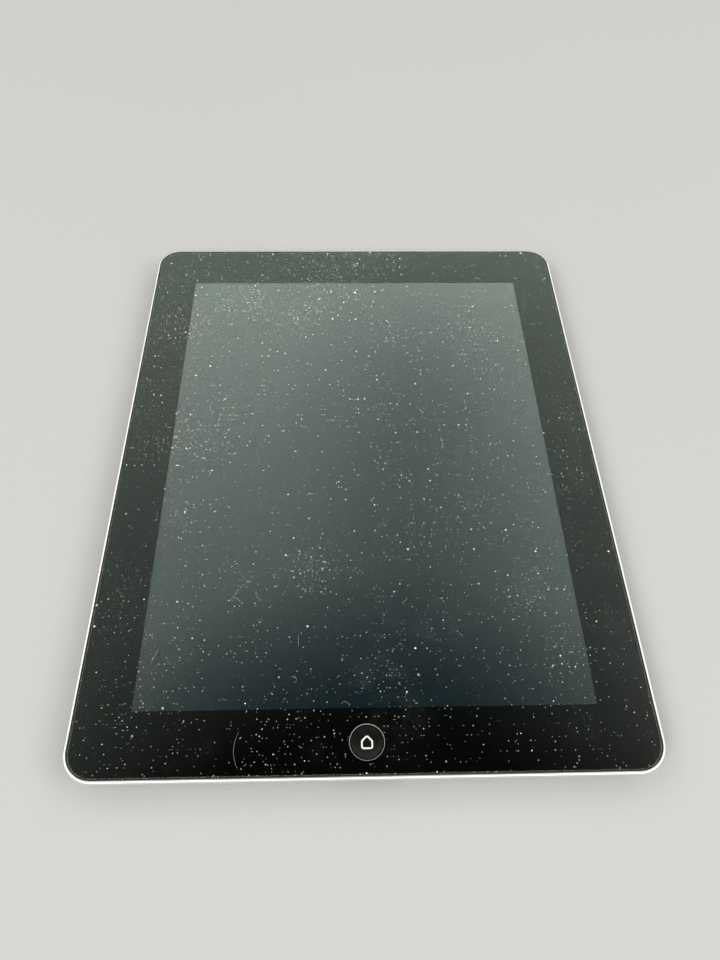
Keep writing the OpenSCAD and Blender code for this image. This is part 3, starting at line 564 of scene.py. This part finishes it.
def make_shell():
    """Back shell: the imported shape, shaded with the true normals of its curved skin."""
    mesh = nodes["rear_case"].data.copy()
    mesh.shade_smooth()
    near = math.cos(SKIN_TURN)
    normals = []
    for face in mesh.polygons:
        for i in face.loop_indices:
            true = skin_normal(mesh.vertices[mesh.loops[i].vertex_index].co)
            normals.append(true if true.dot(face.normal) > near else face.normal.copy())
    mesh.normals_split_custom_set(normals)
    new_piece("back_shell", mesh, MATERIALS["case_metal"], BODY, ["rear_case"])


make_shell()


# ---------------------------------------------------------------- keys

def soften(node, name, body, slot, width):
    """A key with its sharp edges rounded."""
    builder = bmesh.new()
    builder.from_mesh(nodes[node].data)
    bmesh.ops.remove_doubles(builder, verts=builder.verts[:], dist=WELD)
    bmesh.ops.dissolve_limit(builder, angle_limit=FLAT_TURN, verts=builder.verts[:],
                             edges=builder.edges[:])
    sharp = [e for e in builder.edges if len(e.link_faces) == 2 and e.calc_face_angle() > KEY_TURN]
    bmesh.ops.bevel(builder, geom=sharp, offset=width, segments=3, profile=0.5, affect="EDGES",
                    clamp_overlap=True)
    even_shading(new_piece(name, mesh_of(name, builder), MATERIALS[slot], body, [node]))


soften("power_button", "sleep_key", "power_button", "key_metal", KEY_EDGE)
soften("volume_rocker", "rocker_key", "volume_rocker", "key_metal", KEY_EDGE)
soften("side_switch", "lock_slider", "side_switch", "slider_metal", SLIDER_EDGE)


# ---------------------------------------------------------------- home button mark

def rounded_path(corners, radius, steps=6):
    """Closed path through corners given in mm, each rounded by an arc."""
    path = []
    count = len(corners)
    for i in range(count):
        at = Vector(corners[i])
        back = (Vector(corners[i - 1]) - at).normalized()
        on = (Vector(corners[(i + 1) % count]) - at).normalized()
        half = math.acos(max(-1.0, min(1.0, back.dot(on)))) / 2
        reach = radius / math.tan(half)
        start, end = at + back * reach, at + on * reach
        centre = at + (back + on).normalized() * radius / math.sin(half)
        a, b = start - centre, end - centre
        path += [centre + a.lerp(b, k / steps).normalized() * radius for k in range(steps + 1)]
    return path


def make_mark():
    """Outline of a small house, printed in the dish of the home button."""
    home, top = middle("home_button"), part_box("home_button")[1].z
    sphere = (DISH_R ** 2 + DISH_DEPTH ** 2) / (2 * DISH_DEPTH)
    path = rounded_path(MARK_CORNERS, MARK_ROUND)
    builder = bmesh.new()
    rows = []
    count = len(path)
    for i, p in enumerate(path):
        ahead = (path[(i + 1) % count] - path[i - 1]).normalized()
        side = Vector((ahead.y, -ahead.x))
        row = []
        for shift, lift in ((-0.5, -0.02), (-0.5, 0.012), (0.5, 0.012), (0.5, -0.02)):
            q = (p + side * shift * MARK_LINE) * MM
            dip = top - DISH_DEPTH + sphere - math.sqrt(sphere ** 2 - q.length_squared)
            row.append(builder.verts.new((home.x + q.x, home.y + q.y, dip + lift * MM)))
        rows.append(row)
    for i in range(count):
        skin_between(builder, rows[i], rows[(i + 1) % count])
    silver = grainy("mark_ink", (0.5, 0.51, 0.5), (0.62, 0.63, 0.62), (0.4, 0.5), grain=4000, bump_mm=0.002)
    new_piece("home_mark", mesh_of("home_mark", builder), silver, "home_button")


make_mark()


# ---------------------------------------------------------------- front camera lens

def make_lens(name, node, radius, rise, rows=7):
    """Domed lens over a camera, in rows of rings."""
    centre, z = middle(node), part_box(node)[1].z
    sphere = (radius ** 2 + rise ** 2) / (2 * rise)
    builder = bmesh.new()
    rings = []
    for k in range(rows):
        r = radius * (1 - k / rows)
        height = math.sqrt(sphere ** 2 - r ** 2) - sphere + rise
        rings.append(loop_at(builder, circle(centre, r, 32), z + height))
    for first, second in zip(rings, rings[1:]):
        skin_between(builder, first, second)
    builder.faces.new(rings[-1])
    builder.faces.new(rings[0])
    new_piece(name, mesh_of(name, builder), MATERIALS["lens_glass"], BODY)


make_lens("front_lens", "front_camera", LENS_R, LENS_RISE)


# ---------------------------------------------------------------- lint

def add_fibre(curve, x, y, z, heading, turn, length, steps=10):
    """One curled fibre of a curve object, thin at its ends."""
    spline = curve.splines.new("POLY")
    spline.points.add(steps)
    for k in range(steps + 1):
        spline.points[k].co = (x, y, z, 1)
        spline.points[k].radius = 0.4 + 0.6 * math.sin(math.pi * (k + 0.5) / (steps + 1))
        x += math.cos(heading) * length / steps
        y += math.sin(heading) * length / steps
        heading += turn / steps


def make_lint():
    """Fibres that lie on the glass: a few long hairs and a scatter of short lint."""
    chance = random.Random(LINT_SEED)
    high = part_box("cover_glass")[1]
    curve = bpy.data.curves.new("lint_fibres", "CURVE")
    curve.dimensions = "3D"
    curve.bevel_depth = HAIR_RADIUS
    curve.bevel_resolution = 1
    z = high.z + curve.bevel_depth
    for x, y, heading, turn, length in HAIRS:
        add_fibre(curve, x * MM, y * MM, z, math.radians(heading), math.radians(turn), length * MM)
    for _ in range(LINT_COUNT):
        x, y = chance.uniform(*LINT_ACROSS) * high.x, chance.uniform(*LINT_ALONG) * high.y
        add_fibre(curve, x, y, z, chance.uniform(0, math.tau), chance.uniform(*LINT_TURN),
                  chance.uniform(*LINT_LENGTH) * MM)
    fibres = bpy.data.objects.new("lint_fibres", curve)
    bpy.context.scene.collection.objects.link(fibres)
    curve.materials.append(grainy("lint", (0.45, 0.46, 0.44), (0.6, 0.61, 0.58), (0.8, 0.9), bump_mm=0.002))
    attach(fibres, BODY)


make_lint()


# ---------------------------------------------------------------- stage, light and camera

def make_floor():
    """Pale floor that goes on to the horizon."""
    mesh = bpy.data.meshes.new("floor")
    corners = [(-FLOOR_REACH, -FLOOR_REACH, 0), (FLOOR_REACH, -FLOOR_REACH, 0),
               (FLOOR_REACH, FLOOR_REACH, 0), (-FLOOR_REACH, FLOOR_REACH, 0)]
    mesh.from_pydata(corners, [], [(0, 1, 2, 3)])
    floor = bpy.data.objects.new("floor", mesh)
    bpy.context.scene.collection.objects.link(floor)
    floor.data.materials.append(grainy("pale_floor", (0.37, 0.365, 0.37), (0.40, 0.395, 0.40), (0.75, 0.85),
                                       grain=400.0, bump_mm=0.02, patches=3.0, Specular_IOR_Level=0.15))
    floor.location.z = -FLOOR_DROP


def room_side(tree, up, levels):
    """Brightness of one side of the room by the height of the direction."""
    ramp = add(tree, "ShaderNodeValToRGB", None, Fac=up)
    stops = ramp.color_ramp.elements
    while len(stops) < len(levels):
        stops.new(0.5)
    for stop, (height, level) in zip(stops, levels):
        stop.position = height
        stop.color = (*[level / ROOM_MOST] * 3, 1)
    return ramp.outputs[0]


def make_room():
    """Room that lights the object and shows in its gloss, behind a plain pale backdrop."""
    world = bpy.data.worlds.new("room")
    bpy.context.scene.world = world
    world.use_nodes = True
    tree = world.node_tree
    tree.nodes.clear()
    way = add(tree, "ShaderNodeTexCoord").outputs["Generated"]
    across, along, height = add(tree, "ShaderNodeSeparateXYZ", None, Vector=way).outputs
    up = math_node(tree, "ADD", height, math_node(tree, "MULTIPLY", across, LEAN))
    facing = step(tree, along, *AHEAD_FROM)
    both = add(tree, "ShaderNodeMix", {"data_type": "RGBA"}, Factor=facing,
               i6=room_side(tree, up, ROOM_BEHIND), i7=room_side(tree, up, ROOM_AHEAD)).outputs[2]
    off_gap = math_node(tree, "ABSOLUTE", math_node(tree, "SUBTRACT", across, GAP_MIDDLE))
    gap = math_node(tree, "MULTIPLY", step(tree, off_gap, 0.0, GAP_HALF, GAP_DEPTH, 0.0),
                    math_node(tree, "MULTIPLY", facing, step(tree, up, *GAP_FROM)))
    aside = step(tree, math_node(tree, "ABSOLUTE", across), *SIDES_FROM)
    wall = tint(tree, math_node(tree, "MAXIMUM", aside, math_node(tree, "SUBTRACT", 1.0, facing)),
                AHEAD_TINT, SIDES_TINT)
    wall = add(tree, "ShaderNodeMix", {"data_type": "RGBA"},
               Factor=step(tree, up, *WALL_FROM), i6=(1, 1, 1, 1), i7=wall).outputs[2]
    tinted = add(tree, "ShaderNodeMix", {"data_type": "RGBA", "blend_type": "MULTIPLY"}, Factor=1.0, i6=both,
                 i7=wall).outputs[2]
    light = add(tree, "ShaderNodeBackground", None, Color=tinted,
                Strength=math_node(tree, "MULTIPLY", math_node(tree, "SUBTRACT", 1.0, gap), ROOM_MOST))
    plain = add(tree, "ShaderNodeBackground", None, Color=(1, 1, 1, 1), Strength=BACKDROP)
    seen = add(tree, "ShaderNodeLightPath").outputs["Is Camera Ray"]
    shown = add(tree, "ShaderNodeMixShader", None, i0=seen, i1=light.outputs[0], i2=plain.outputs[0])
    add(tree, "ShaderNodeOutputWorld", None, Surface=shown.outputs[0])


def make_light(name, where, size, watts, colour):
    """Soft lamp that points at the object and leaves no mirror image in the glass."""
    data = bpy.data.lights.new(name, "AREA")
    data.size, data.energy, data.color = size, watts, colour
    lamp = bpy.data.objects.new(name, data)
    bpy.context.scene.collection.objects.link(lamp)
    lamp.location = where
    lamp.rotation_euler = (-Vector(where)).to_track_quat("-Z", "Y").to_euler()
    lamp.visible_glossy = False


def make_camera():
    """Looks down on the near end of the tablet at 56 degrees, a little from the left."""
    ahead = Vector(CAMERA_AHEAD).normalized()
    right = Vector(CAMERA_RIGHT)
    right = (right - ahead * right.dot(ahead)).normalized()
    up = right.cross(ahead)
    data = bpy.data.cameras.new("camera")
    data.sensor_width, data.lens = 36.0, CAMERA_LENS
    data.clip_start = 0.01
    camera = bpy.data.objects.new("camera", data)
    bpy.context.scene.collection.objects.link(camera)
    turn = Matrix((right, up, -ahead)).transposed().to_4x4()
    camera.matrix_world = Matrix.Translation(CAMERA_AT) @ turn
    bpy.context.scene.camera = camera


make_floor()
make_room()
for lamp in LAMPS:
    make_light(*lamp)
make_camera()
bpy.context.scene.view_settings.view_transform = "Standard"
